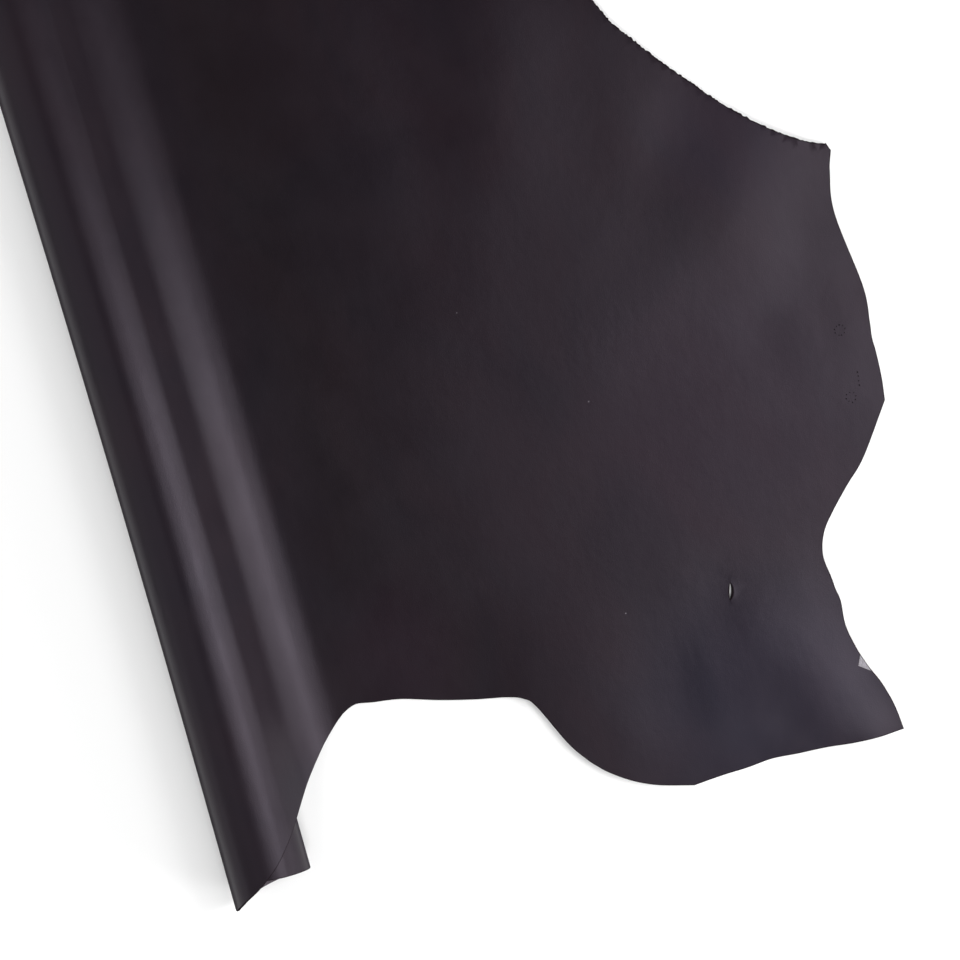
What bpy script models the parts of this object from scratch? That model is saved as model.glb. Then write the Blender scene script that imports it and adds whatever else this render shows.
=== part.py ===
"""Leather belly, partly rolled up: one whole piece, cut from the belly side of a hide.

The piece is cut flat, creased into strips, given its thickness and then bent: one long side is
rolled over itself, and the rest lies on the floor with a few soft swells in it.
Metres, +Z up. The roll runs along Y, and the origin is the middle of the underside.
"""

import math
from bisect import bisect_right

import bmesh
import bpy
from mathutils import Vector

MM = 0.001

# The leather.
THICKNESS = 1.8 * MM
LEATHER_COLOUR = (0.0120, 0.0092, 0.0120, 1.0)
LEATHER_ROUGHNESS = 0.45

# The roll's cross-section is an oval spiral. Its turns are one pitch apart.
ROLL_WIDTH = 57.5 * MM
ROLL_HEIGHT = 51.1 * MM
TURN_PITCH = THICKNESS + 0.6 * MM
ROLL_EGG = 0.73 * MM
ROLL_EGG_POINT = math.radians(-24.3)
ROLL_PRESS = 0.4 * MM  # how far the floor flattens the roll's underside
ROLL_FACET = math.radians(15.0)
ROLL_LAST_ANGLE = math.radians(607.5)  # where the grain faces at the inner end of the spiral

# The foot is the hollow curve in which the flat leather climbs onto the roll.
FOOT_RADIUS = 49.0 * MM
FOOT_STEEPEST = math.radians(54.9)
FOOT_FACETS = 6

# Spacing of the creases that let the flat part follow its swells, and of the points on the edge.
SWELL_CREASES = 32.0 * MM
EDGE_SPACING = 13.0 * MM

# The cut edge, in millimetres, anticlockwise. Each run is one smooth stretch from corner to
# corner. Across is measured from the foot of the roll, and what is negative gets rolled up.
#   (across, along)
EDGE_RUNS = {
    "near end of the roll": (
        (-315.4, -614), (-254.6, -622), (-240, -623.5), (-228, -624.2), (-213.2, -624.7),
        (-196, -626.2), (-179.5, -628.4), (-166, -631), (-157, -633.3), (-134.8, -638.4),
        (-121.8, -635.7), (-112.4, -631.7), (-104, -627.8), (-97.3, -623.9), (-93.5, -621.1),
        (-86.2, -615.4), (-80.7, -610.2), (-74.3, -603.6), (-67.6, -597.2), (-61, -591.1),
        (-56.1, -586.6), (-50.4, -581), (-44.9, -575.9), (-35.1, -565.9), (-25.2, -555.8),
        (-15.5, -545.7), (-4.8, -535.8), (0.5, -531.6), (4.8, -528.8), (13.3, -526), (25, -528.1),
        (44.8, -531.5), (69.8, -539.6), (94.5, -546.3), (115.7, -550.9), (127, -555.3),
        (134, -563), (147.7, -593.2), (157.4, -608.1), (162.6, -614.2), (169.7, -621.2),
        (183.7, -631.4), (200.1, -639.4), (224.5, -646.9),
    ),
    "near shank, end": (
        (224.5, -646.9), (245.6, -645.8), (264, -645.6), (282, -644.5), (299.8, -645.9),
        (320, -647), (339.9, -649.5), (358.3, -650.7), (376.3, -650.2),
    ),
    "near shank, side": (
        (376.3, -650.2), (374.7, -631.9), (370.4, -614.7), (364.8, -601.3), (360.4, -586.9),
        (357.5, -569.3), (359.1, -552), (357.9, -543.3), (357.5, -534.6), (356.2, -518),
        (361.6, -502.4), (372.9, -488.8), (386.6, -475.2), (402.8, -459.8), (428.2, -425.9),
    ),
    "flank": (
        (428.2, -425.9), (430.5, -409.9), (431.7, -392), (431.8, -381.3), (433.5, -369.9),
        (435.9, -345), (431.1, -291), (436, -262.1), (441, -247.5),
    ),
    "flank corner": ((441, -247.5), (438.5, -242.5)),
    "torn belly edge": (
        (438.5, -242.5), (428.6, -238.4), (419.1, -233.1), (411.4, -227.4), (401.4, -219.8),
        (384.4, -203.6), (368.8, -186.1), (361.3, -176.4), (355.3, -169.2), (341, -151.4),
        (324.8, -128.7), (317.4, -118), (310.7, -102.3), (286, -46), (271, 30), (268, 130),
        (278, 240), (306, 340), (347, 412), (366, 440),
    ),
    "far shank, side": ((366, 440), (374, 500), (358, 560), (333, 604), (322, 643)),
    "far end": (
        (322, 643), (250, 650.9), (176, 640), (112, 610), (50, 592), (-17.4, 594), (-80.1, 608),
        (-136.2, 620), (-216.2, 617), (-315.4, 610),
    ),
    "inner side": ((-315.4, 610), (-315.4, -614)),
}

# Soft swells that the flat part keeps, in millimetres. Bearing is the crest's, in degrees from +X.
#   (name, across, along, bearing, half length, half width, height)
SWELLS = (
    ("flank corner to belly", 358, -262, 60, 130, 68, 5),
    ("flank rim", 413, -345, 92, 95, 20, 1.6),
    ("middle of the belly", 212, -150, 74, 190, 46, 2),
    ("beside the roll", 150, -170, 90, 260, 70, 1.4),
    ("near waist", 171, -595, 89, 129, 110, 4.3),
    ("near shank", 330, -606, 98, 123, 43, 4.5),
    ("near shank crease", 302, -614, 110, 95, 34, 1.7),
    ("near shank dimple", 265, -586, 92, 71, 55, 2.6),
    ("near shank groove", 240, -577, 82, 83, 23, -0.6),
    ("above the groove", 251, -537, 82, 69, 32, 0.6),
    ("near shank to flank", 296, -556, 104, 66, 37, 1.4),
    ("near shank corner", 355, -648, 135, 27, 30, 1.6),
    ("near shank edge", 284, -639, 86, 59, 32, -0.6),
    ("near waist to shank", 191, -619, 84, 48, 29, 0.4),
    ("far belly", 205, 250, 101, 210, 62, 2.6),
    ("far shank", 300, 520, 64, 120, 60, 4.2),
)


def smooth_run(points, spacing):
    """Points along a smooth curve through a run's points, without the last one."""
    padded = [2 * points[0] - points[1], *points, 2 * points[-1] - points[-2]]
    curve = []
    for before, start, end, after in zip(padded, padded[1:], padded[2:], padded[3:]):
        steps = max(1, round((end - start).length / spacing))
        leave, arrive = (end - before) / 2, (after - start) / 2
        for step in range(steps):
            t = step / steps
            bend = (2 * start - 2 * end + leave + arrive) * t**3
            lean = (3 * end - 3 * start - 2 * leave - arrive) * t**2
            curve.append(bend + lean + leave * t + start)
    return curve


def cut_outline():
    """The whole cut edge of the flat leather, anticlockwise, in metres."""
    outline = []
    for name, run in EDGE_RUNS.items():
        points = [Vector((across * MM, along * MM)) for across, along in run]
        if name in ("flank corner", "inner side"):
            outline.append(points[0])
        else:
            outline.extend(smooth_run(points, EDGE_SPACING))
    return outline


def roll_stations():
    """The cross-section as (distance along the leather, mid-leather point, way the grain faces).

    The roll is the curve whose distance from its centre, measured the way the grain faces, is
    mean - shrink * turned + oval * cos(2 * angle) + ROLL_EGG * cos(3 * egg_angle). Such a
    spiral's turns stay one pitch apart.
    """
    first = math.pi / 2 - FOOT_STEEPEST
    shrink = TURN_PITCH / (2 * math.pi)
    inside = 2 * THICKNESS - shrink * (5 * math.pi - 4 * first)
    mean = (ROLL_WIDTH + ROLL_HEIGHT - inside) / 4
    oval = (ROLL_WIDTH - ROLL_HEIGHT + shrink * math.pi) / 4

    def from_centre(angle):
        outward = Vector((math.cos(angle), 0.0, math.sin(angle)))
        onward = Vector((-math.sin(angle), 0.0, math.cos(angle)))
        egg_angle = 3 * (angle - ROLL_EGG_POINT)
        reach = mean - shrink * (angle - first) + oval * math.cos(2 * angle)
        reach += ROLL_EGG * math.cos(egg_angle)
        slide = -shrink - 2 * oval * math.sin(2 * angle) - 3 * ROLL_EGG * math.sin(egg_angle)
        return reach * outward + slide * onward

    def rolled_length(angle):
        turned = angle - first
        waves = 1.5 * oval * (math.sin(2 * angle) - math.sin(2 * first))
        for place, way in ((angle, 1), (first, -1)):
            waves += way * 8 / 3 * ROLL_EGG * math.sin(3 * (place - ROLL_EGG_POINT))
        return mean * turned - shrink * turned**2 / 2 - waves

    stations = []
    for facet in range(FOOT_FACETS + 1):
        tilt = FOOT_STEEPEST * facet / FOOT_FACETS
        grain = Vector((math.sin(tilt), 0.0, math.cos(tilt)))
        top_of_arc = Vector((0.0, 0.0, THICKNESS / 2 + FOOT_RADIUS))
        stations.append((FOOT_RADIUS * tilt, top_of_arc - FOOT_RADIUS * grain, grain))

    foot_length, foot_end, _ = stations[-1]
    uphill = Vector((-math.cos(FOOT_STEEPEST), 0.0, math.sin(FOOT_STEEPEST)))
    centre_height = THICKNESS / 2 - ROLL_PRESS - from_centre(3 * math.pi / 2).z
    start = from_centre(first)
    riser = (centre_height + start.z - foot_end.z) / uphill.z
    centre = foot_end + riser * uphill - start

    angle = first
    while angle < ROLL_LAST_ANGLE + 1e-6:
        grain = Vector((math.cos(angle), 0.0, math.sin(angle)))
        length = foot_length + riser + rolled_length(angle)
        stations.append((length, centre + from_centre(angle), grain))
        angle = (math.floor(angle / ROLL_FACET + 0.501) + 0.5) * ROLL_FACET
    return stations


def swell_height(across, along):
    """Height of the flat leather above the floor at one place."""
    height = 0.0
    for _, x, y, bearing, half_length, half_width, crest in SWELLS:
        away = Vector((across - x * MM, along - y * MM))
        crest_way = Vector((math.cos(math.radians(bearing)), math.sin(math.radians(bearing))))
        lengthways = abs(away.dot(crest_way)) / (half_length * MM)
        sideways = abs(away.cross(crest_way)) / (half_width * MM)
        if lengthways < 1 and sideways < 1:
            fade = math.cos(math.pi / 2 * lengthways) * math.cos(math.pi / 2 * sideways)
            height += crest * MM * fade**2
    return height


def crease(sheet, faces, place, way):
    """Cuts the faces along a line, so that the sheet can bend there."""
    edges = {edge for face in faces for edge in face.edges}
    verts = {vert for face in faces for vert in face.verts}
    bmesh.ops.bisect_plane(
        sheet, geom=[*faces, *edges, *verts], dist=0.01 * MM, plane_co=place, plane_no=way
    )


def flat_sheet(stations):
    """The leather as it was cut, creased where it will bend, with its thickness."""
    sheet = bmesh.new()
    sheet.faces.new([sheet.verts.new((*point, 0.0)) for point in cut_outline()])
    for length, _, _ in stations[:-1]:
        crease(sheet, sheet.faces[:], (-length, 0.0, 0.0), (1.0, 0.0, 0.0))

    nearest = min((x - width) * MM for _, x, _, _, _, width, _ in SWELLS)
    widest = max(vert.co.x for vert in sheet.verts)
    longest = max(abs(vert.co.y) for vert in sheet.verts)
    rows = math.ceil(longest / SWELL_CREASES)
    for column in range(math.ceil((widest - nearest) / SWELL_CREASES)):
        place = (nearest + column * SWELL_CREASES, 0.0, 0.0)
        crease(sheet, sheet.faces[:], place, (1.0, 0.0, 0.0))
    for row in range(-rows, rows + 1):
        swelling = [
            face for face in sheet.faces if min(v.co.x for v in face.verts) > nearest - 0.01 * MM
        ]
        crease(sheet, swelling, (0.0, row * SWELL_CREASES, 0.0), (0.0, 1.0, 0.0))

    bmesh.ops.triangulate(sheet, faces=sheet.faces[:])
    raised = bmesh.ops.extrude_face_region(sheet, geom=sheet.faces[:], use_keep_orig=True)
    upper = [part for part in raised["geom"] if isinstance(part, bmesh.types.BMVert)]
    bmesh.ops.translate(sheet, verts=upper, vec=(0.0, 0.0, THICKNESS))
    bmesh.ops.recalc_face_normals(sheet, faces=sheet.faces[:])
    return sheet


def bend(sheet, stations):
    """Moves the flat sheet's points onto the swells, the foot and the roll."""
    lengths = [length for length, _, _ in stations]
    for vert in sheet.verts:
        across, along, depth = vert.co
        if across >= 0.0:
            vert.co.z = depth + swell_height(across, along)
            continue
        after = min(bisect_right(lengths, -across), len(stations) - 1)
        length_a, point_a, grain_a = stations[after - 1]
        length_b, point_b, grain_b = stations[after]
        share = (-across - length_a) / (length_b - length_a)
        grain = grain_a.lerp(grain_b, share)
        vert.co = point_a.lerp(point_b, share) + (depth - THICKNESS / 2) * grain
        vert.co.y = along
        vert.co.z = max(vert.co.z, 0.0)


def centre_on_origin(sheet):
    """Puts the middle of the underside at the origin."""
    for axis in (0, 1):
        places = [vert.co[axis] for vert in sheet.verts]
        middle = (min(places) + max(places)) / 2
        for vert in sheet.verts:
            vert.co[axis] -= middle


def leather_material():
    material = bpy.data.materials.new("plum black leather")
    material.use_nodes = True
    shader = material.node_tree.nodes["Principled BSDF"]
    shader.inputs["Base Color"].default_value = LEATHER_COLOUR
    shader.inputs["Roughness"].default_value = LEATHER_ROUGHNESS
    shader.inputs["Metallic"].default_value = 0.0
    return material


def make_belly():
    stations = roll_stations()
    sheet = flat_sheet(stations)
    bend(sheet, stations)
    centre_on_origin(sheet)
    mesh = bpy.data.meshes.new("belly")
    sheet.to_mesh(mesh)
    sheet.free()
    mesh.materials.append(leather_material())
    belly = bpy.data.objects.new("belly", mesh)
    bpy.context.scene.collection.objects.link(belly)


for leftover in list(bpy.data.objects):
    bpy.data.objects.remove(leftover)
make_belly()
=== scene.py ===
"""The look of one leather belly, cut whole from a hide and partly rolled up.

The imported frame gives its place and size. Metres, +Z up, with the roll along Y.
"""

import math
import random
from bisect import bisect_right

import bmesh
import bpy
from mathutils import Matrix, Vector, noise


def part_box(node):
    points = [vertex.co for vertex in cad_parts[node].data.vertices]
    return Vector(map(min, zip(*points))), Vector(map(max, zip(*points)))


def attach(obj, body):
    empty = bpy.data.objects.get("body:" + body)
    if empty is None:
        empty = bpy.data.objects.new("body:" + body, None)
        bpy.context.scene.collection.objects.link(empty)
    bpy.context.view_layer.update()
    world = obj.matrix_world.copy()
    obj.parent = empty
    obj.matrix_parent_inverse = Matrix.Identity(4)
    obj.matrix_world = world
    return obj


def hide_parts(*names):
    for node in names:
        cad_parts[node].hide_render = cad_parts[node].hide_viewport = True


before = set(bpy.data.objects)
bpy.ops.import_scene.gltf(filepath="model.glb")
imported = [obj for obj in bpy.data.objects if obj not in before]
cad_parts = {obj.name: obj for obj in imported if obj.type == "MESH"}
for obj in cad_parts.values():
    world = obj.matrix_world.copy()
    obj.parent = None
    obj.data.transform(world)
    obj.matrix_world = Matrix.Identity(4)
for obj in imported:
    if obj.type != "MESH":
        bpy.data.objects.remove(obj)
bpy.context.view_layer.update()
MM = 0.001


# The leather belly.
# This is the thin outer strip of a side of cow hide, chrome tanned, dyed plum black through and
# finished with a fine even grain. It was parted from the hide with a knife and cut round both
# shanks and the flank. Only along the belly is the edge torn, where the thin skin was pulled.
KNIFE_STEP = 2.6 * MM  # from point to point of the outline along a knife cut
TORN_STEP = 1.3 * MM  # and along the torn edge
RIM_WIDTH = 0.6 * MM  # the strip along the cut that the knife drags down

# Each run is one smooth stretch from corner to corner, anticlockwise, in millimetres. Across is
# measured from the foot of the roll, and what is negative gets rolled up.
#   (across, along)
EDGE_RUNS = {
    "near end of the roll": (
        (-315.4, -614), (-254.6, -622), (-240, -623.5), (-228, -624.2), (-213.2, -624.7),
        (-196, -626.2), (-179.5, -628.4), (-166, -631), (-157, -633.3), (-134.8, -638.4),
        (-121.8, -635.7), (-112.4, -631.7), (-104, -627.8), (-97.3, -623.9), (-93.5, -621.1),
        (-86.2, -615.4), (-80.7, -610.2), (-74.3, -603.6), (-67.6, -597.2), (-61, -591.1),
        (-56.1, -586.6), (-50.4, -581), (-44.9, -575.9), (-35.1, -565.9), (-25.2, -555.8),
        (-15.5, -545.7), (-4.8, -535.8), (0.5, -531.6), (4.8, -528.8), (13.3, -526), (25, -528.1),
        (44.8, -531.5), (69.8, -539.6), (94.5, -546.3), (115.7, -550.9), (127, -555.3),
        (134, -563), (147.7, -593.2), (157.4, -608.1), (162.6, -614.2), (169.7, -621.2),
        (183.7, -631.4), (200.1, -639.4), (224.5, -646.9),
    ),
    "near shank, end": (
        (224.5, -646.9), (245.6, -645.8), (264, -645.6), (282, -644.5), (299.8, -645.9),
        (320, -647), (339.9, -649.5), (358.3, -650.7), (376.3, -650.2),
    ),
    "near shank, side": (
        (376.3, -650.2), (374.7, -631.9), (370.4, -614.7), (364.8, -601.3), (360.4, -586.9),
        (357.5, -569.3), (359.1, -552), (357.9, -543.3), (357.5, -534.6), (356.2, -518),
        (361.6, -502.4), (372.9, -488.8), (386.6, -475.2), (402.8, -459.8), (428.2, -425.9),
    ),
    "flank": (
        (428.2, -425.9), (430.5, -409.9), (431.7, -392), (431.8, -381.3), (433.5, -369.9),
        (435.9, -345), (431.1, -291), (436, -262.1), (441, -247.5),
    ),
    "flank corner": ((441, -247.5), (438.5, -242.5)),
    "torn belly edge": (
        (438.5, -242.5), (428.6, -238.4), (419.1, -233.1), (411.4, -227.4), (401.4, -219.8),
        (384.4, -203.6), (368.8, -186.1), (361.3, -176.4), (355.3, -169.2), (341, -151.4),
        (324.8, -128.7), (317.4, -118), (310.7, -102.3), (286, -46), (271, 30), (268, 130),
        (278, 240), (306, 340), (347, 412), (366, 440),
    ),
    "far shank, side": ((366, 440), (374, 500), (358, 560), (333, 604), (322, 643)),
    "far end": (
        (322, 643), (250, 650.9), (176, 640), (112, 610), (50, 592), (-17.4, 594), (-80.1, 608),
        (-136.2, 620), (-216.2, 617), (-315.4, 610),
    ),
    "inner side": ((-315.4, 610), (-315.4, -614)),
}


def smooth_run(points, spacing):
    """Points along a smooth curve through a run's points, without the last one."""
    padded = [2 * points[0] - points[1], *points, 2 * points[-1] - points[-2]]
    curve = []
    for before, start, end, after in zip(padded, padded[1:], padded[2:], padded[3:]):
        steps = max(1, round((end - start).length / spacing))
        leave, arrive = (end - before) / 2, (after - start) / 2
        for step in range(steps):
            t = step / steps
            bend = (2 * start - 2 * end + leave + arrive) * t**3
            lean = (3 * end - 3 * start - 2 * leave - arrive) * t**2
            curve.append(bend + lean + leave * t + start)
    return curve


edge_points = {}
for name, run in EDGE_RUNS.items():
    corner_to_corner = [Vector((across * MM, along * MM)) for across, along in run]
    step = TORN_STEP if name == "torn belly edge" else KNIFE_STEP
    if name in ("flank corner", "inner side"):
        edge_points[name] = corner_to_corner[:1]
    else:
        edge_points[name] = smooth_run(corner_to_corner, step)
outline = [point for points in edge_points.values() for point in points]

sheet = bmesh.new()
sheet.faces.new([sheet.verts.new((*point, 0.0)) for point in outline])
sheet.normal_update()
bmesh.ops.inset_region(
    sheet, faces=sheet.faces[:], thickness=RIM_WIDTH, use_even_offset=True, use_boundary=True
)
rim_mark = sheet.faces.layers.int.new("rim")
for face in sheet.faces:
    face[rim_mark] = int(len(face.verts) == 4)

# Leather bends along lines, so the flat cut is creased across the roll and its hollow foot, and
# into small squares where it lies in soft swells.
THICKNESS = 1.8 * MM
TURN_PITCH = THICKNESS + 0.6 * MM  # from one turn of the roll to the next
ROLL_WIDTH = 57.5 * MM
ROLL_HEIGHT = 51.1 * MM
ROLL_EGG = 0.73 * MM  # how far the oval's three blunt corners stand out
ROLL_EGG_POINT = math.radians(-24.3)  # where one of those corners is
ROLL_PRESS = 0.4 * MM  # how far the roll's weight flattens it against the floor
ROLL_LAST_ANGLE = math.radians(607.5)  # where the inner end is, from the roll's right side
ROLL_CREASE = math.radians(4.0)
FOOT_RADIUS = 49.0 * MM
FOOT_STEEPEST = math.radians(54.9)
FOOT_CREASES = 18
SWELL_CREASE = 6.0 * MM
ROLL_ROW = 7  # the roll needs one row of creases where the flat has seven
TOUCHING = 0.01 * MM  # what is nearer than this to a crease lies on it


def roll_stations():
    """The cross-section as (distance along the leather, mid-leather point, way the grain faces).

    The roll is the curve whose distance from its centre, measured the way the grain faces, is
    mean - shrink * turned + oval * cos(2 * angle) + ROLL_EGG * cos(3 * egg_angle). Such a
    spiral's turns stay one pitch apart.
    """
    first = math.pi / 2 - FOOT_STEEPEST
    shrink = TURN_PITCH / (2 * math.pi)
    inside = 2 * THICKNESS - shrink * (5 * math.pi - 4 * first)
    mean = (ROLL_WIDTH + ROLL_HEIGHT - inside) / 4
    oval = (ROLL_WIDTH - ROLL_HEIGHT + shrink * math.pi) / 4

    def from_centre(angle):
        outward = Vector((math.cos(angle), 0.0, math.sin(angle)))
        onward = Vector((-math.sin(angle), 0.0, math.cos(angle)))
        egg_angle = 3 * (angle - ROLL_EGG_POINT)
        reach = mean - shrink * (angle - first) + oval * math.cos(2 * angle)
        reach += ROLL_EGG * math.cos(egg_angle)
        slide = -shrink - 2 * oval * math.sin(2 * angle) - 3 * ROLL_EGG * math.sin(egg_angle)
        return reach * outward + slide * onward

    def rolled_length(angle):
        turned = angle - first
        waves = 1.5 * oval * (math.sin(2 * angle) - math.sin(2 * first))
        for place, way in ((angle, 1), (first, -1)):
            waves += way * 8 / 3 * ROLL_EGG * math.sin(3 * (place - ROLL_EGG_POINT))
        return mean * turned - shrink * turned**2 / 2 - waves

    stations = []
    for number in range(FOOT_CREASES + 1):
        tilt = FOOT_STEEPEST * number / FOOT_CREASES
        grain = Vector((math.sin(tilt), 0.0, math.cos(tilt)))
        top_of_arc = Vector((0.0, 0.0, THICKNESS / 2 + FOOT_RADIUS))
        stations.append((FOOT_RADIUS * tilt, top_of_arc - FOOT_RADIUS * grain, grain))

    foot_length, foot_end, _ = stations[-1]
    uphill = Vector((-math.cos(FOOT_STEEPEST), 0.0, math.sin(FOOT_STEEPEST)))
    centre_height = THICKNESS / 2 - ROLL_PRESS - from_centre(3 * math.pi / 2).z
    start = from_centre(first)
    riser = (centre_height + start.z - foot_end.z) / uphill.z
    centre = foot_end + riser * uphill - start
    creases = round((ROLL_LAST_ANGLE - first) / ROLL_CREASE)
    for number in range(creases + 1):
        angle = first + (ROLL_LAST_ANGLE - first) * number / creases
        grain = Vector((math.cos(angle), 0.0, math.sin(angle)))
        length = foot_length + riser + rolled_length(angle)
        stations.append((length, centre + from_centre(angle), grain))
    return stations


def crease(faces, place, way):
    """Cuts the faces along a line, so that the sheet can bend there."""
    edges = dict.fromkeys(edge for face in faces for edge in face.edges)
    verts = dict.fromkeys(vert for face in faces for vert in face.verts)
    bmesh.ops.bisect_plane(
        sheet, geom=[*faces, *edges, *verts], dist=TOUCHING, plane_co=place, plane_no=way
    )


stations = roll_stations()
for length, _, _ in stations[:-1]:
    crease(sheet.faces[:], (-length, 0.0, 0.0), (1.0, 0.0, 0.0))
widest = max(point.x for point in outline)
longest = max(point.y for point in outline)
for column in range(1, math.ceil(widest / SWELL_CREASE)):
    crease(sheet.faces[:], (column * SWELL_CREASE, 0.0, 0.0), (1.0, 0.0, 0.0))
rows = math.ceil(longest / SWELL_CREASE)
for row in range(-rows, rows + 1):
    row_faces = sheet.faces[:]
    if row % ROLL_ROW:
        row_faces = [f for f in row_faces if max(v.co.x for v in f.verts) > TOUCHING]
    crease(row_faces, (0.0, row * SWELL_CREASE, 0.0), (0.0, 1.0, 0.0))

# A knife slip has left one open slit, three nicks in the grain show pale fibres, and a tannery
# pricks its marks into the flank with a needle block. Here that is two plain rings and a row.
SLIT = Vector((286.6 * MM, -523.9 * MM))
SLIT_BEARING = math.radians(73.7)
SLIT_HALF_LENGTH = 5.5 * MM
SLIT_PARTING = (0.7 * MM, 1.9 * MM)  # how far each lip has drawn back from the cut
SLIT_RINGS = (0.0, 0.8 * MM, 3.0 * MM)  # rings of leather round it, by how far out they are
SLIT_POINT = 0.3  # at 0 its outline is an oval, and more gives that sharper ends
LIP_TAPER = 0.45  # how much of the lips' parting is left at the flesh side
NICK_RADIUS = 0.46 * MM
NICK_DEPTH = 0.2 * MM
#   (across, along) in millimetres
NICKS = ((158.0, -283.4), (229.0, -368.7), (212.3, -518.0))
PRICK_RADIUS = (0.38 * MM, 0.6 * MM)
PRICK_DEPTH = 1.2 * MM
PIT_DRAFT = 0.06 * MM  # how far the sides of a nick or a prick lean in
PRICK_STRAY_ROUND = 0.25  # how far a prick can be off along its ring, in steps from one to the next
PRICK_STRAY_OUT = 0.18  # and off outwards or inwards, in parts of the ring's radius
SLIT_CORNERS, NICK_CORNERS, PRICK_CORNERS = 28, 8, 6
#   (across, along, radius, pricks) in millimetres
PRICK_RINGS = ((411.5, -370.1, 3.7, 9), (406.0, -417.4, 3.6, 8))
#   (across, along) in millimetres
PRICK_ROW = ((415.0, -401.8), (414.8, -404.6), (414.1, -407.8), (413.8, -410.9))
# How far round each mark the sheet is taken out and filled again, to take in its edges.
SLIT_REACH = 12 * MM
NICK_REACH = 6 * MM
PRICK_REACH = 9 * MM
FILL_SCALE = 1000  # the fill is only true to a tenth of a millimetre, so it is done larger


def ring_of_edges(centre, place_at, count):
    """A closed ring of edges round a place, with each corner placed by its angle."""
    corners = bmesh.ops.create_circle(sheet, segments=count, radius=MM)["verts"]
    for number, corner in enumerate(corners):
        across, along = place_at(2 * math.pi * number / count)
        corner.co = (centre.x + across, centre.y + along, 0.0)
    return list(dict.fromkeys(edge for corner in corners for edge in corner.link_edges))


def open_up(places, reach, holes):
    """Takes out the faces round some places, and fills the gap again up to the holes' edges."""

    def how_near(face):
        return min((face.calc_center_median().xy - place).length for place in places)

    cleared = dict.fromkeys(face for face in sheet.faces if how_near(face) < reach)
    around = dict.fromkeys(edge for face in cleared for edge in face.edges)
    border = [e for e in around if sum(face in cleared for face in e.link_faces) == 1]
    bmesh.ops.delete(sheet, geom=list(cleared), context="FACES")
    corners = list(dict.fromkeys(corner for edge in border + holes for corner in edge.verts))
    bmesh.ops.scale(sheet, verts=corners, vec=(FILL_SCALE,) * 3)
    bmesh.ops.triangle_fill(sheet, edges=border + holes, use_beauty=True, normal=(0, 0, 1))
    bmesh.ops.scale(sheet, verts=corners, vec=(1 / FILL_SCALE,) * 3)


slit_ahead = Vector((math.cos(SLIT_BEARING), math.sin(SLIT_BEARING)))
slit_aside = Vector((slit_ahead.y, -slit_ahead.x))


def lens(swell):
    """Places on the slit's outline, a slim lens along its bearing, grown by swell."""

    def place_at(angle):
        lip = SLIT_PARTING[1] if math.cos(angle) > 0 else SLIT_PARTING[0]
        out = math.cos(angle) * abs(math.cos(angle)) ** SLIT_POINT * (lip + swell)
        return out * slit_aside + math.sin(angle) * (SLIT_HALF_LENGTH + swell) * slit_ahead

    return place_at


def circle(radius):
    """Places on a plain circle."""
    return lambda angle: (radius * math.cos(angle), radius * math.sin(angle))


slit_rings = [ring_of_edges(SLIT, lens(swell), SLIT_CORNERS) for swell in SLIT_RINGS]
open_up([SLIT], SLIT_REACH, slit_rings[-1])
for inner, outer in zip(slit_rings, slit_rings[1:]):
    lips = bmesh.ops.bridge_loops(sheet, edges=inner + outer)["faces"]
    for face in lips:
        face[rim_mark] = int(inner is slit_rings[0])
nicks = []
for across, along in NICKS:
    place = Vector((across * MM, along * MM))
    ring = ring_of_edges(place, circle(NICK_RADIUS), NICK_CORNERS)
    open_up([place], NICK_REACH, ring)
    nicks += ring

# Hand and needle are never quite true, so each prick is a little off its ring and its size.
needle = random.Random(7)
pricks = []
marked = []
for across, along, radius, count in PRICK_RINGS:
    middle = Vector((across * MM, along * MM))
    marked.append(middle)
    for number in range(count):
        stray = PRICK_STRAY_ROUND * noise.noise(Vector((number, across, 0)))
        turn = 2 * math.pi * (number + stray) / count
        out = radius * MM * (1 + PRICK_STRAY_OUT * noise.noise(Vector((number, along, 5))))
        place = middle + Vector(circle(out)(turn))
        pricks += ring_of_edges(place, circle(needle.uniform(*PRICK_RADIUS)), PRICK_CORNERS)
for across, along in PRICK_ROW:
    marked.append(Vector((across * MM, along * MM)))
    hole = circle(needle.uniform(*PRICK_RADIUS))
    pricks += ring_of_edges(marked[-1], hole, PRICK_CORNERS)
open_up(marked, PRICK_REACH, pricks)
dent_mark = sheet.faces.layers.int.new("dent")
PRICK, NICK = 1, 2
for edges, mark in ((pricks, PRICK), (nicks, NICK)):
    for face in bmesh.ops.edgeloop_fill(sheet, edges=edges)["faces"]:
        face[dent_mark] = mark

# By the near shank a flake of the grain has come off, and the bare fibres show.
#   (across, along) in millimetres, from the edge in and back to the edge
FLAKE_CORNERS = ((361.1, -592.0), (357.6, -599.0), (364.6, -604.6), (366.9, -605.6))
FLAKE_REACH = 12 * MM
FLAKE_DEPTH = 0.3 * MM
FLAKE_DRAFT = 0.35 * MM  # how far its torn side leans in
flake_corners = [Vector((across * MM, along * MM, 0.0)) for across, along in FLAKE_CORNERS]
flake_middle = sum(flake_corners, Vector()) / len(flake_corners)


def by_the_flake(face):
    """Whether a face of the flat cut is near the flake."""
    return (face.calc_center_median() - flake_middle).length < FLAKE_REACH


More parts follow.
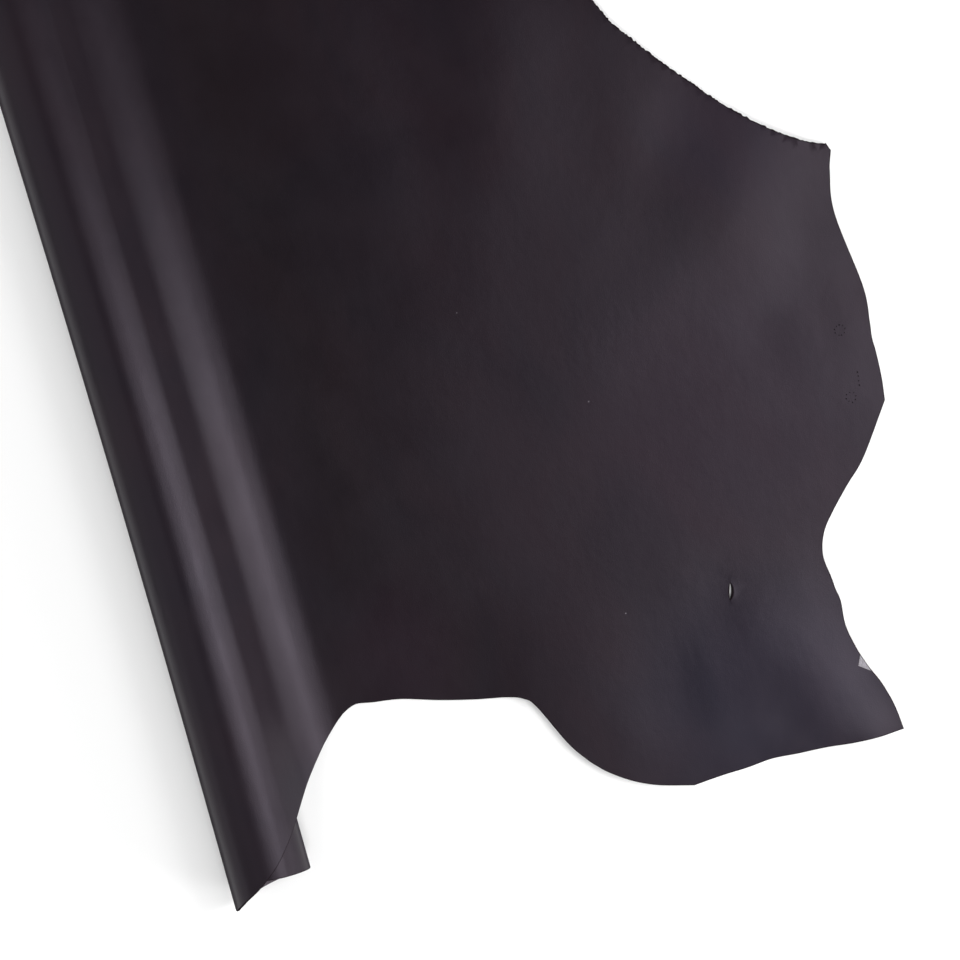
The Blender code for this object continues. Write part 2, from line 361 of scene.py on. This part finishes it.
flake_sides = []
for start, end in zip(flake_corners, flake_corners[1:]):
    inward = Vector((start.y - end.y, end.x - start.x, 0.0)).normalized()
    flake_sides.append((start, inward))
    crease([face for face in sheet.faces if by_the_flake(face)], start, inward)
flake_mark = sheet.faces.layers.int.new("flake")
for face in sheet.faces:
    middle = face.calc_center_median()
    inside = all((middle - start).dot(inward) > 0 for start, inward in flake_sides)
    face[flake_mark] = int(inside and by_the_flake(face))
bmesh.ops.recalc_face_normals(sheet, faces=sheet.faces[:])
if sheet.faces[0].normal.z < 0:
    bmesh.ops.reverse_faces(sheet, faces=sheet.faces[:])

# The leather's thickness goes upwards from the flesh side. The rim of the grain side is dragged
# down by the knife, and torn fibres stand out from the belly edge.
RIM_DROP = 0.35 * MM
TEAR_REACH = 1.0 * MM  # how far the torn edge's points stand out
TEAR_SPACING = 2.2 * MM  # and about how far apart they are
GRAIN_SIDE, FLESH_SIDE, CUT_EDGE, FLAKED = range(4)

torn = edge_points["torn belly edge"]
rim_corners = [vert for vert in sheet.verts if vert.is_boundary]
for corner in rim_corners:
    place = corner.co.copy()
    nearest = min(torn, key=lambda point: (point - place.xy).length_squared)
    if (nearest - place.xy).length < 0.5 * TORN_STEP:
        at = torn.index(nearest)
        ahead = (torn[min(at + 1, len(torn) - 1)] - torn[max(at - 1, 0)]).normalized()
        outward = Vector((ahead.y, -ahead.x, 0.0))
        ragged = 0.4 + noise.noise(place / TEAR_SPACING) + 0.6 * noise.noise(place / MM)
        corner.co += outward * TEAR_REACH * max(0.0, ragged)

flesh = sheet.faces[:]
raised = bmesh.ops.extrude_face_region(sheet, geom=flesh, use_keep_orig=True)["geom"]
grain = [item for item in raised if isinstance(item, bmesh.types.BMFace)]
top_corners = [item for item in raised if isinstance(item, bmesh.types.BMVert)]
bmesh.ops.translate(sheet, verts=top_corners, vec=(0.0, 0.0, THICKNESS))
bmesh.ops.reverse_faces(sheet, faces=flesh)
for face in sheet.faces:
    face.material_index = CUT_EDGE
for face in flesh:
    face.material_index = FLESH_SIDE
for face in grain:
    face.material_index = CUT_EDGE if face[rim_mark] else GRAIN_SIDE
for face in sheet.faces:
    half_way_up = abs(face.calc_center_median().z - THICKNESS / 2) < 0.1 * MM
    if half_way_up:
        dragged = [v for v in face.verts if any(by[rim_mark] for by in v.link_faces)]
        for corner in dragged:
            corner.co.z = min(corner.co.z, THICKNESS - RIM_DROP)
for corner in rim_corners:
    offset = corner.co.xy - SLIT
    if offset.length < 1.2 * SLIT_HALF_LENGTH:
        corner.co.xy += offset.dot(slit_aside) * (LIP_TAPER - 1) * slit_aside
for mark, deep, bottom in ((PRICK, PRICK_DEPTH, CUT_EDGE), (NICK, NICK_DEPTH, FLAKED)):
    dented = [face for face in grain if face[dent_mark] == mark]
    sides = bmesh.ops.inset_individual(sheet, faces=dented, thickness=PIT_DRAFT, depth=-deep)
    for face in sides["faces"]:
        face.material_index = CUT_EDGE
    for face in dented:
        face.material_index = bottom
flaked = [face for face in grain if face[flake_mark]]
torn_side = bmesh.ops.inset_region(
    sheet, faces=flaked, thickness=FLAKE_DRAFT, depth=-FLAKE_DEPTH
)
for face in torn_side["faces"]:
    face.material_index = CUT_EDGE
for face in flaked:
    face.material_index = FLAKED

# Swells stand up from the flat, where the skin of the shank, flank and belly had to bulge. One
# whose height is below zero is a shallow hollow.
#   (name, across, along, bearing of the crest, half its length, half its width, height)
#   in millimetres and degrees
SWELLS = (
    ("flank corner to belly", 377, -250, 52, 167, 70, 3.6),
    ("flank rim", 417, -359, 90, 92, 18, 0.4),
    ("inside the flank rim", 385, -344, 100, 116, 35, 0.5),
    ("middle of the belly", 228, -139, 83, 235, 70, 3.4),
    ("across the belly", 292, -102, 121, 172, 83, 3.9),
    ("middle of the flank", 278, -260, 71, 151, 76, 2.1),
    ("beside the roll", 139, -187, 107, 240, 76, 1.5),
    ("at the foot of the roll", 112, -312, 91, 126, 65, 0.6),
    ("near waist", 171, -595, 89, 129, 110, 4.3),
    ("near shank", 330, -606, 98, 123, 43, 4.5),
    ("near shank crease", 302, -614, 110, 95, 34, 1.7),
    ("near shank dimple", 265, -586, 92, 71, 55, 2.6),
    ("near shank groove", 240, -577, 82, 83, 23, -0.6),
    ("above the groove", 251, -537, 82, 69, 32, 0.6),
    ("near shank to flank", 296, -556, 104, 66, 37, 1.4),
    ("near shank corner", 355, -648, 135, 27, 30, 1.6),
    ("near shank edge", 284, -639, 86, 59, 32, -0.6),
    ("near waist to shank", 191, -619, 84, 48, 29, 0.4),
    ("far belly", 205, 250, 101, 210, 62, 2.6),
    ("far shank", 300, 520, 64, 120, 60, 4.2),
)
WAVE_HEIGHT = 0.35 * MM
WAVE_LENGTH = 90 * MM
WAVE_START = 60 * MM  # from the foot of the roll to where the waves are full
LIP_LIFT = 0.8 * MM  # how far the slit's right lip curls up
# The roll isn't quite straight: it bows to the right at the bow's middle, and to the left half
# a bow's length from there.
BOW = 2.35 * MM
BOW_SHIFT = -1.08 * MM
BOW_MIDDLE = -356 * MM
BOW_LENGTH = 1300 * MM
BOW_START = 80 * MM  # from the foot of the roll to where it is full


def swell_height(across, along):
    """How far the leather stands up from the floor at a place on the flat."""
    height = 0.0
    for _, middle_across, middle_along, bearing, half_length, half_width, crest in SWELLS:
        offset = (across - middle_across * MM, along - middle_along * MM)
        turn = math.radians(bearing)
        ahead = (offset[0] * math.cos(turn) + offset[1] * math.sin(turn)) / (half_length * MM)
        aside = (offset[0] * math.sin(turn) - offset[1] * math.cos(turn)) / (half_width * MM)
        if abs(ahead) < 1 and abs(aside) < 1:
            fall = math.cos(math.pi / 2 * ahead) * math.cos(math.pi / 2 * aside)
            height += crest * MM * fall**2
    place = Vector((across, along, 0.0)) / WAVE_LENGTH
    waves = 0.5 + noise.noise(place) + 0.3 * noise.noise(2.3 * place)
    height += WAVE_HEIGHT * max(0.0, waves) * min(1.0, across / WAVE_START)
    from_slit = Vector((across, along)) - SLIT
    along_slit = from_slit.dot(slit_ahead) / (SLIT_HALF_LENGTH + SLIT_RINGS[-1])
    from_lip = from_slit.dot(slit_aside) / (SLIT_PARTING[1] + SLIT_RINGS[-1])
    if abs(along_slit) < 1 and 0 < from_lip < 1:
        height += LIP_LIFT * math.cos(math.pi / 2 * along_slit) ** 2 * (1 - from_lip)
    return height


on_cut = sheet.loops.layers.uv.new("cut")  # where each corner was on the flat cut, in metres
for face in sheet.faces:
    for loop in face.loops:
        loop[on_cut].uv = loop.vert.co.xy
lengths = [length for length, _, _ in stations]
for vert in sheet.verts:
    across, along, depth = vert.co
    if across >= 0:
        vert.co.z += swell_height(across, along)
        continue
    step = min(bisect_right(lengths, -across), len(lengths) - 1)
    (near, near_place, near_grain), (far, far_place, far_grain) = stations[step - 1 : step + 1]
    share = (-across - near) / (far - near)
    place = near_place.lerp(far_place, share)
    grain_way = near_grain.lerp(far_grain, share).normalized()
    place += (depth - THICKNESS / 2) * grain_way
    bowed = BOW_SHIFT + BOW * math.cos(2 * math.pi * (along - BOW_MIDDLE) / BOW_LENGTH)
    place.x += bowed * min(1.0, -across / BOW_START)
    vert.co = (place.x, along, max(place.z, 0.0))

far_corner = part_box("belly")[1]
foot_place = Vector((far_corner[0] - widest, far_corner[1] - longest, 0.0))
bmesh.ops.translate(sheet, verts=sheet.verts[:], vec=foot_place)
bent = [face for face in sheet.faces if len(face.verts) > 4]
bmesh.ops.triangulate(sheet, faces=bent)

SHARP_BEND = math.radians(20)  # an edge that is bent more than this looks sharp
mesh = bpy.data.meshes.new("leather_belly")
sheet.to_mesh(mesh)
sheet.free()
mesh.shade_smooth()
mesh.set_sharp_from_angle(angle=SHARP_BEND)
belly = bpy.data.objects.new("leather_belly", mesh)
bpy.context.scene.collection.objects.link(belly)


def new_material(name):
    """A material with a Principled shader, and its node tree."""
    material = bpy.data.materials.new(name)
    material.use_nodes = True
    return material, material.node_tree, material.node_tree.nodes["Principled BSDF"]


def new_node(tree, kind, settings=None, **values):
    """A node with its settings, and the values of its inputs that nothing is linked to."""
    made = tree.nodes.new(kind)
    for name, value in (settings or {}).items():
        setattr(made, name, value)
    for name, value in values.items():
        made.inputs[name].default_value = value
    return made


def cut_place(tree, across, along):
    """A place on the flat cut, counted in steps of a length across it and along it."""
    uv = new_node(tree, "ShaderNodeUVMap", {"uv_map": "cut"})
    steps = new_node(tree, "ShaderNodeMapping", Scale=(1 / across, 1 / along, 1.0))
    tree.links.new(uv.outputs["UV"], steps.inputs["Vector"])
    return steps.outputs["Vector"]


def flat_noise(tree, place, detail, roughness=0.5, distortion=0.0):
    """Soft noise over places on the flat cut, from 0 to 1."""
    made = new_node(
        tree, "ShaderNodeTexNoise", {"noise_dimensions": "2D"},
        Scale=1.0, Detail=detail, Roughness=roughness, Distortion=distortion,
    )
    tree.links.new(place, made.inputs["Vector"])
    return made.outputs["Fac"]


def ramp_colours(tree, amount, stops):
    """Colours mixed by an amount, from (amount, colour) stops."""
    ramp = new_node(tree, "ShaderNodeValToRGB")
    ends = ramp.color_ramp.elements
    while len(ends) < len(stops):
        ends.new(0.5)
    for end, (at, colour) in zip(ends, stops):
        end.position = at
        end.color = (*colour, 1.0)
    tree.links.new(amount, ramp.inputs["Fac"])
    return ramp.outputs["Color"]


def map_amount(tree, amount, low, high, to_low, to_high):
    """An amount from low to high turned into one from to_low to to_high."""
    made = new_node(tree, "ShaderNodeMapRange")
    for number, value in enumerate((low, high, to_low, to_high), start=1):
        made.inputs[number].default_value = value
    made.interpolation_type = "SMOOTHSTEP"
    tree.links.new(amount, made.inputs["Value"])
    return made.outputs["Result"]


def soft_pool(tree, under, colour, middle, reach, strength):
    """Colours with a soft pool of another colour in them, round a place on the flat cut."""
    uv = new_node(tree, "ShaderNodeUVMap", {"uv_map": "cut"})
    shift = (-middle[0] / reach[0], -middle[1] / reach[1], 0.0)
    from_middle = new_node(
        tree, "ShaderNodeMapping", Location=shift, Scale=(1 / reach[0], 1 / reach[1], 1.0)
    )
    tree.links.new(uv.outputs["UV"], from_middle.inputs["Vector"])
    pool = new_node(tree, "ShaderNodeTexGradient", {"gradient_type": "SPHERICAL"})
    tree.links.new(from_middle.outputs["Vector"], pool.inputs["Vector"])
    mixed = new_node(tree, "ShaderNodeMixRGB", Color2=(*colour, 1.0))
    amount = map_amount(tree, pool.outputs["Fac"], 0.0, 0.8, 0.0, strength)
    tree.links.new(amount, mixed.inputs["Fac"])
    tree.links.new(under, mixed.inputs["Color1"])
    return mixed.outputs["Color"]


def raise_surface(tree, shader, layers):
    """Bumps on a surface, from (height from 0 to 1, how high in metres) layers."""
    under = None
    for height, high in layers:
        bump = new_node(tree, "ShaderNodeBump", Strength=1.0, Distance=high)
        tree.links.new(height, bump.inputs["Height"])
        if under:
            tree.links.new(under, bump.inputs["Normal"])
        under = bump.outputs["Normal"]
    tree.links.new(under, shader.inputs["Normal"])


# The grain is a fine print of pebbles under a millimetre wide, with a thin clear finish. The base
# colour is a little uneven. It is lighter and purpler on the roll and its foot, which is painted
# light in the dim hollow between the roll's two highlights. It is darker a little way out on the
# flat, and some pools are lighter and bluer while others are darker and redder.
PEBBLE = 0.85 * MM
GRAIN_SPECULAR = 0.237
GRAIN_TINT = (0.943, 0.839, 1.0, 1.0)
grain_leather, tree, shader = new_material("plum black grain leather")
shader.inputs["Specular IOR Level"].default_value = GRAIN_SPECULAR
shader.inputs["Specular Tint"].default_value = GRAIN_TINT
# The first stop covers the whole roll and its foot. It is painted light: lighter and purpler, to
# fill the dim hollow between the roll's two highlights.
DYE_AND_ROLL_LIGHT_START, DYE_AND_ROLL_LIGHT_END = -30 * MM, 170 * MM
#   (how far from its start to its end, colour)
DYE_AND_ROLL_LIGHT = (
    (0.0, (0.0090, 0.0062, 0.0088)),
    (0.35, (0.0060, 0.0039, 0.0051)),
    (1.0, (0.0082, 0.0051, 0.0074)),
)
#   (colour, place, reach across and along, strength)
COLOUR_POOLS = (
    ((0.0084, 0.0070, 0.0126), (290 * MM, -600 * MM), (125 * MM, 115 * MM), 1.0),
    ((0.0078, 0.0036, 0.0062), (52 * MM, -500 * MM), (60 * MM, 75 * MM), 0.8),
    ((0.0112, 0.0078, 0.0128), (372 * MM, -218 * MM), (70 * MM, 75 * MM), 0.8),
    ((0.0070, 0.0030, 0.0066), (330 * MM, -400 * MM), (150 * MM, 140 * MM), 0.7),
)
across_cut = new_node(tree, "ShaderNodeSeparateXYZ")
tree.links.new(cut_place(tree, 1.0, 1.0), across_cut.inputs["Vector"])
from_roll = new_node(tree, "ShaderNodeMapRange")
from_roll.inputs["From Min"].default_value = DYE_AND_ROLL_LIGHT_START
from_roll.inputs["From Max"].default_value = DYE_AND_ROLL_LIGHT_END
tree.links.new(across_cut.outputs["X"], from_roll.inputs["Value"])
dye_and_roll_light = ramp_colours(tree, from_roll.outputs["Result"], DYE_AND_ROLL_LIGHT)
for colour, middle, reach, strength in COLOUR_POOLS:
    dye_and_roll_light = soft_pool(tree, dye_and_roll_light, colour, middle, reach, strength)
dye = flat_noise(tree, cut_place(tree, 70 * MM, 120 * MM), 4.0, 0.55, 0.6)
shade = ramp_colours(tree, dye, ((0.3, (0.86, 0.93, 0.96)), (0.7, (1.14, 1.07, 1.04))))
uneven = new_node(tree, "ShaderNodeMixRGB", {"blend_type": "MULTIPLY"}, Fac=1.0)
tree.links.new(dye_and_roll_light, uneven.inputs["Color1"])
tree.links.new(shade, uneven.inputs["Color2"])
tree.links.new(uneven.outputs["Color"], shader.inputs["Base Color"])

# Handling has dulled the finish in places, and it is duller where it is seen from low down.
GRAIN_ROUGHNESS = (0.308, 0.368)  # from the least dulled places to the most
LOW_VIEW = (0.5, 0.8)  # Facing where the dulling starts and where it is full
LOW_VIEW_ROUGHNESS = 0.55  # how much it adds there
handled = flat_noise(tree, cut_place(tree, 45 * MM, 60 * MM), 5.0, 0.6)
facing = new_node(tree, "ShaderNodeLayerWeight", Blend=0.5)
matter = map_amount(tree, facing.outputs["Facing"], *LOW_VIEW, 0.0, LOW_VIEW_ROUGHNESS)
roughness = new_node(tree, "ShaderNodeMath", {"operation": "ADD"})
tree.links.new(map_amount(tree, handled, 0.25, 0.75, *GRAIN_ROUGHNESS), roughness.inputs[0])
tree.links.new(matter, roughness.inputs[1])
tree.links.new(roughness.outputs["Value"], shader.inputs["Roughness"])
pebbles = new_node(
    tree, "ShaderNodeTexVoronoi", {"voronoi_dimensions": "2D", "feature": "SMOOTH_F1"},
    Scale=1.0, Randomness=0.9, Smoothness=0.5,
)
tree.links.new(cut_place(tree, PEBBLE, PEBBLE), pebbles.inputs["Vector"])
fine = flat_noise(tree, cut_place(tree, 0.4 * MM, 0.4 * MM), 2.0)
drawn = flat_noise(tree, cut_place(tree, 9 * MM, 12 * MM), 4.0, 0.5)
raise_surface(
    tree, shader,
    ((drawn, 0.10 * MM), (pebbles.outputs["Distance"], 0.03 * MM), (fine, 0.008 * MM)),
)

# The flesh side is split and lightly buffed: a short suede, greyer than the grain.
flesh_leather, tree, shader = new_material("plum suede flesh side")
shader.inputs["Roughness"].default_value = 0.95
shader.inputs["Specular IOR Level"].default_value = 0.15
shader.inputs["Sheen Weight"].default_value = 0.15
nap = flat_noise(tree, cut_place(tree, 0.5 * MM, 0.9 * MM), 4.0, 0.65)
shaded = flat_noise(tree, cut_place(tree, 14 * MM, 22 * MM), 4.0, 0.6, 0.5)
suede = ramp_colours(
    tree, shaded, ((0.3, (0.072, 0.059, 0.071)), (0.7, (0.112, 0.094, 0.109)))
)
tree.links.new(suede, shader.inputs["Base Color"])
raise_surface(tree, shader, ((shaded, 0.25 * MM), (nap, 0.12 * MM)))

# The cut shows the dark dyed fibres end on.
edge_leather, tree, shader = new_material("cut edge fibres")
shader.inputs["Roughness"].default_value = 0.95
shader.inputs["Specular IOR Level"].default_value = 0.0
ends = flat_noise(tree, cut_place(tree, 0.35 * MM, 0.35 * MM), 3.0, 0.6)
fibre_colour = ramp_colours(
    tree, ends, ((0.3, (0.0060, 0.0042, 0.0055)), (0.75, (0.0190, 0.0140, 0.0170)))
)
tree.links.new(fibre_colour, shader.inputs["Base Color"])
raise_surface(tree, shader, ((ends, 0.15 * MM),))

# Under the grain the fibres took less dye.
flake_leather, tree, shader = new_material("bare fibres of the flake")
shader.inputs["Roughness"].default_value = 0.9
shader.inputs["Specular IOR Level"].default_value = 0.2
nap = flat_noise(tree, cut_place(tree, 1.1 * MM, 1.3 * MM), 4.0, 0.6, 0.4)
bare = ramp_colours(
    tree, nap, ((0.3, (0.165, 0.155, 0.170)), (0.65, (0.265, 0.252, 0.277)))
)
tree.links.new(bare, shader.inputs["Base Color"])
raise_surface(tree, shader, ((nap, 0.2 * MM),))

for material in (grain_leather, flesh_leather, edge_leather, flake_leather):
    mesh.materials.append(material)


# Torn fibres stand out from the belly edge, where the skin was pulled off and not cut. They are
# single ends of the leather's own fibre, dyed with it.
FIBRES = 240
FIBRE_THICKNESS = (0.08 * MM, 0.17 * MM)
FIBRE_LENGTH = (0.8 * MM, 2.6 * MM)
FIBRE_SHORTNESS = 2.2  # at 1 all lengths are as common, and more makes most fibres short
FIBRE_ROOT = (-0.8 * MM, 0.2 * MM)  # out from the edge
FIBRE_HEIGHT = (0.3 * MM, 1.3 * MM)
FIBRE_SPREAD = 0.7
FIBRE_RISE = (-0.1, 0.35)
FIBRE_DROOP = (-0.1, 0.5)
FIBRE_LOWEST = 0.1 * MM  # above the floor
FIBRE_PATCHES = 700.0  # patches of colour to the metre
draws = random.Random(41)
tufts = bmesh.new()
for _ in range(FIBRES):
    at = draws.randrange(1, len(torn) - 1)
    ahead = (torn[at + 1] - torn[at - 1]).normalized()
    outward = Vector((ahead.y, -ahead.x, 0.0))
    root = torn[at].to_3d() + draws.uniform(*FIBRE_ROOT) * outward
    root.z = draws.uniform(*FIBRE_HEIGHT) + swell_height(root.x, root.y)
    heading = Matrix.Rotation(draws.gauss(0, FIBRE_SPREAD), 3, "Z") @ outward
    heading.z = draws.uniform(*FIBRE_RISE)
    growth = draws.random() ** FIBRE_SHORTNESS
    length = FIBRE_LENGTH[0] + (FIBRE_LENGTH[1] - FIBRE_LENGTH[0]) * growth
    thickness = draws.uniform(*FIBRE_THICKNESS)
    droop = draws.uniform(*FIBRE_DROOP) * length
    fibre = bmesh.ops.create_cone(
        tufts, cap_ends=True, segments=4, radius1=thickness / 2, radius2=0.4 * thickness,
        depth=length / 3,
    )["verts"]
    bmesh.ops.translate(tufts, verts=fibre, vec=(0.0, 0.0, length / 6))
    tip = max((f for corner in fibre for f in corner.link_faces), key=lambda f: f.normal.z)
    for narrowing in (0.7, 0.35):
        tip = bmesh.ops.extrude_discrete_faces(tufts, faces=[tip])["faces"][0]
        middle = tip.calc_center_median()
        for corner in tip.verts:
            corner.co = middle + narrowing * (corner.co - middle) + Vector((0, 0, length / 3))
        fibre += tip.verts[:]
    stand = Vector((0, 0, 1)).rotation_difference(heading).to_matrix()
    for corner in fibre:
        sag = droop * (corner.co.z / length) ** 2
        corner.co = root + stand @ corner.co
        corner.co.z = max(FIBRE_LOWEST, corner.co.z - sag)
bmesh.ops.recalc_face_normals(tufts, faces=tufts.faces[:])
bmesh.ops.translate(tufts, verts=tufts.verts[:], vec=foot_place)
tuft_mesh = bpy.data.meshes.new("torn_edge_fibres")
tufts.to_mesh(tuft_mesh)
tufts.free()
tuft_mesh.shade_smooth()
torn_edge_fibres = bpy.data.objects.new("torn_edge_fibres", tuft_mesh)
bpy.context.scene.collection.objects.link(torn_edge_fibres)

# The fibres are paler in patches, where the dye has worn.
fibre_leather, tree, shader = new_material("torn leather fibre")
shader.inputs["Roughness"].default_value = 0.8
shader.inputs["Specular IOR Level"].default_value = 0.2
where = new_node(tree, "ShaderNodeTexCoord")
patches = new_node(tree, "ShaderNodeTexNoise", Scale=FIBRE_PATCHES, Detail=2.0)
tree.links.new(where.outputs["Object"], patches.inputs["Vector"])
fibre_colour = ramp_colours(
    tree, patches.outputs["Fac"],
    ((0.35, (0.0070, 0.0050, 0.0065)), (0.7, (0.0230, 0.0175, 0.0215))),
)
tree.links.new(fibre_colour, shader.inputs["Base Color"])
tuft_mesh.materials.append(fibre_leather)
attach(torn_edge_fibres, "root")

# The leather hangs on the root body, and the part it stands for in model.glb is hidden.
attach(belly, "root")
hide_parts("belly")


# The floor.
boards = bmesh.new()
bmesh.ops.create_grid(boards, x_segments=1, y_segments=1, size=6.0)
floor_mesh = bpy.data.meshes.new("floor")
boards.to_mesh(floor_mesh)
boards.free()
floor = bpy.data.objects.new("floor", floor_mesh)
bpy.context.scene.collection.objects.link(floor)
pale, tree, shader = new_material("pale floor")
shader.inputs["Base Color"].default_value = (0.8, 0.8, 0.8, 1.0)
shader.inputs["Roughness"].default_value = 1.0
shader.inputs["Specular IOR Level"].default_value = 0.0
floor_mesh.materials.append(pale)


# The light.
def softbox(name, place, aim, size, power):
    """A rectangular area light that the camera doesn't see."""
    light = bpy.data.lights.new(name, "AREA")
    light.shape = "RECTANGLE"
    light.size, light.size_y = size
    light.energy = power
    lamp = bpy.data.objects.new(name, light)
    lamp.location = place
    lamp.rotation_euler = (Vector(aim) - Vector(place)).to_track_quat("-Z", "Y").to_euler()
    lamp.visible_camera = False
    bpy.context.scene.collection.objects.link(lamp)


# Each softbox stands at one distance from the middle of the leather, and faces it.
#   (name, lowest and highest above the floor, from and to round the leather, brightness)
#   in degrees, with 0 degrees straight to the right of the roll
SOFTBOX_DISTANCE = 2.2
SOFTBOXES = (
    ("key", 28, 56, -10, 11, 5.73),
    ("key spread", 40, 62, -40, 11, 4.61),
    ("overhead", 64, 82, -40, 33, 4.49),
    ("low right", 2, 32, -5, 9, 5.59),
    ("low near right", 2, 17, -51, -25, 30.6),
    ("low far", 2, 33, 92, 126, 8.07),
    ("low left", 2, 18, 182, 239, 1.11),
    ("near", 42, 58, 250, 278, 18.3),
    ("left", 5, 75, 146, 197, 0.82),
)
WORLD_BRIGHTNESS = 0.06
leather_middle = Vector((-0.03, -0.4, 0.0))
for name, low, high, first_side, last_side, brightness in SOFTBOXES:
    rise, side = math.radians((low + high) / 2), math.radians((first_side + last_side) / 2)
    level = math.cos(rise)
    toward = Vector((level * math.cos(side), level * math.sin(side), math.sin(rise)))
    width = SOFTBOX_DISTANCE * level * math.radians(last_side - first_side)
    height = SOFTBOX_DISTANCE * math.radians(high - low)
    place = leather_middle + SOFTBOX_DISTANCE * toward
    softbox(name, place, leather_middle, (width, height), math.pi * width * height * brightness)
world = bpy.data.worlds.new("studio")
world.use_nodes = True
world.node_tree.nodes["Background"].inputs["Color"].default_value = (1, 1, 1, 1)
world.node_tree.nodes["Background"].inputs["Strength"].default_value = WORLD_BRIGHTNESS
bpy.context.scene.world = world
bpy.context.scene.view_settings.view_transform = "Standard"


# The camera, which looks straight down.
CAMERA_PLACE = (-0.0278, -0.4001, 1.8667)
CAMERA_TURN = math.radians(-16.33)
camera_data = bpy.data.cameras.new("camera")
camera_data.lens = 100
camera_data.sensor_width = 36
camera = bpy.data.objects.new("camera", camera_data)
camera.location = CAMERA_PLACE
camera.rotation_euler = (0.0, 0.0, CAMERA_TURN)
bpy.context.scene.collection.objects.link(camera)
bpy.context.scene.camera = camera
